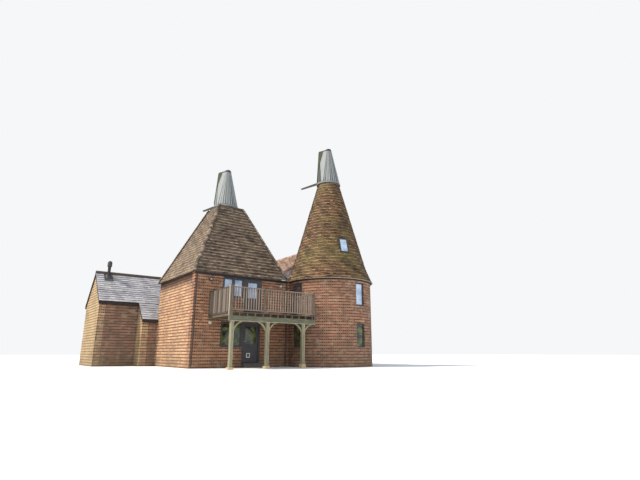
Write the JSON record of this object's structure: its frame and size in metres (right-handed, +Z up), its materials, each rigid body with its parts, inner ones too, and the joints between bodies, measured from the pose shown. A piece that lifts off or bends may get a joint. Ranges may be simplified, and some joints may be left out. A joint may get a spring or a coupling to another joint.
{
  "type": "oast house",
  "caption": "Brick oast house with a square kiln and a round kiln under tall tiled roofs with turning white cowls, an oak balcony between them, a tiled range and a slate wing behind.",
  "frame": {"origin": "on the ground under the centre of the square kiln", "axes": "+X to the right along the front wall, +Y from the front to the back, +Z up"},
  "size_m": [13.705, 14.22, 13.231],
  "materials": {
    "front_brick": "matt clay facing brick, weathered",
    "side_brick": "matt orange clay brick",
    "wing_render": "matt yellow stock brick",
    "kiln_tiles": "matt clay plain tiles",
    "hip_tiles": "matt dark bonnet tiles",
    "cone_tiles": "matt clay plain tiles with moss",
    "range_tiles": "matt clay plain tiles",
    "slates": "matt natural slate",
    "concrete_floor": "matt screed",
    "timber_floor": "oiled boards",
    "pad_stone": "matt sandstone",
    "step_stone": "matt dark worn stone",
    "oak_frame": "weathered green-grey oak",
    "deck_timber": "weathered softwood",
    "joinery": "satin anthracite paint",
    "door_paint": "satin anthracite paint",
    "glazing": "clear",
    "hinge_steel": "satin",
    "flap_plastic": "white",
    "flap_pane": "smoked clear",
    "lead": "dull grey lead sheet",
    "rainwater": "black",
    "light_glass": "opal",
    "flue_metal": "matt black",
    "cowl_boards": "weathered white paint",
    "cap_metal": "dark weathered lead",
    "curb_timber": "weathered oak"
  },
  "bodies": {
    "house": {"square_kiln_front_wall_left": "front_brick", "square_kiln_front_wall_right": "front_brick", "square_kiln_wall_under_windows": "front_brick", "square_kiln_wall_over_door": "front_brick", "square_kiln_side_walls": "side_brick", "square_kiln_back_wall": "side_brick", "square_kiln_roof_front_back": "kiln_tiles", "square_kiln_roof_sides": "kiln_tiles", "square_kiln_hip_tiles": "hip_tiles", "round_kiln_wall_front_back": "front_brick", "round_kiln_wall_window_side": "front_brick", "round_kiln_wall_right": "front_brick", "round_kiln_wall_door_side": "front_brick", "round_kiln_roof_bays": "cone_tiles", "round_kiln_roof_between": "cone_tiles", "ground_floors": "concrete_floor", "upper_floors": "timber_floor", "door_step": "step_stone", "stowage_long_walls": "side_brick", "stowage_end_walls": "side_brick", "stowage_roof_left": "range_tiles", "stowage_roof_right": "range_tiles", "wing_side_walls": "side_brick", "wing_end_walls": "wing_render", "wing_roof_front": "slates", "wing_roof_rear": "slates", "wing_flue": "flue_metal", "ridge_tiles": "range_tiles", "valley_lead": "lead", "gutter": "rainwater", "downpipes": "rainwater", "wall_lights": "light_glass", "balcony_posts": "oak_frame", "balcony_pads": "pad_stone", "balcony_beam": "oak_frame", "balcony_braces": "oak_frame", "balcony_joists": "deck_timber", "balcony_deck": "deck_timber", "balcony_newels": "deck_timber", "balcony_front_railing": "deck_timber", "balcony_return_railing": "deck_timber", "balcony_side_screen": "deck_timber", "front_window_frames": "joinery", "back_door_frame": "joinery", "back_door_hinges": "hinge_steel", "small_window_frames": "joinery", "rooflight": "joinery", "fixed_glass": "glazing", "cowl_curbs": "curb_timber"},
    "back_door_leaf": {"back_door": "door_paint", "back_door_glass": "glazing", "cat_flap_frame": "flap_plastic"},
    "cat_flap": {"cat_flap": "flap_pane"},
    "square_cowl": {"square_cowl": "cowl_boards", "square_cowl_cap": "cap_metal", "square_cowl_vane": "cowl_boards"},
    "round_cowl": {"round_cowl": "cowl_boards", "round_cowl_cap": "cap_metal", "round_cowl_vane": "cowl_boards"}
  },
  "joints": [
    {"name": "back_door_hinge", "type": "hinge", "parent": "house", "child": "back_door_leaf", "pos_m": [1.081, -2.45, 1.2], "axis": [0, 0, -1], "range_deg": [0, 100]},
    {"name": "cat_flap_pivot", "type": "hinge", "parent": "back_door_leaf", "child": "cat_flap", "pos_m": [0.5235, -2.517, 0.65], "axis": [1, 0, 0], "range_deg": [-60, 60]},
    {"name": "square_cowl_turn", "type": "hinge", "parent": "house", "child": "square_cowl", "pos_m": [0, 0, 9.03], "axis": [0, 0, 1], "continuous": true},
    {"name": "round_cowl_turn", "type": "hinge", "parent": "house", "child": "round_cowl", "pos_m": [5.3, -3.2, 10.76], "axis": [0, 0, 1], "continuous": true}
  ]
}
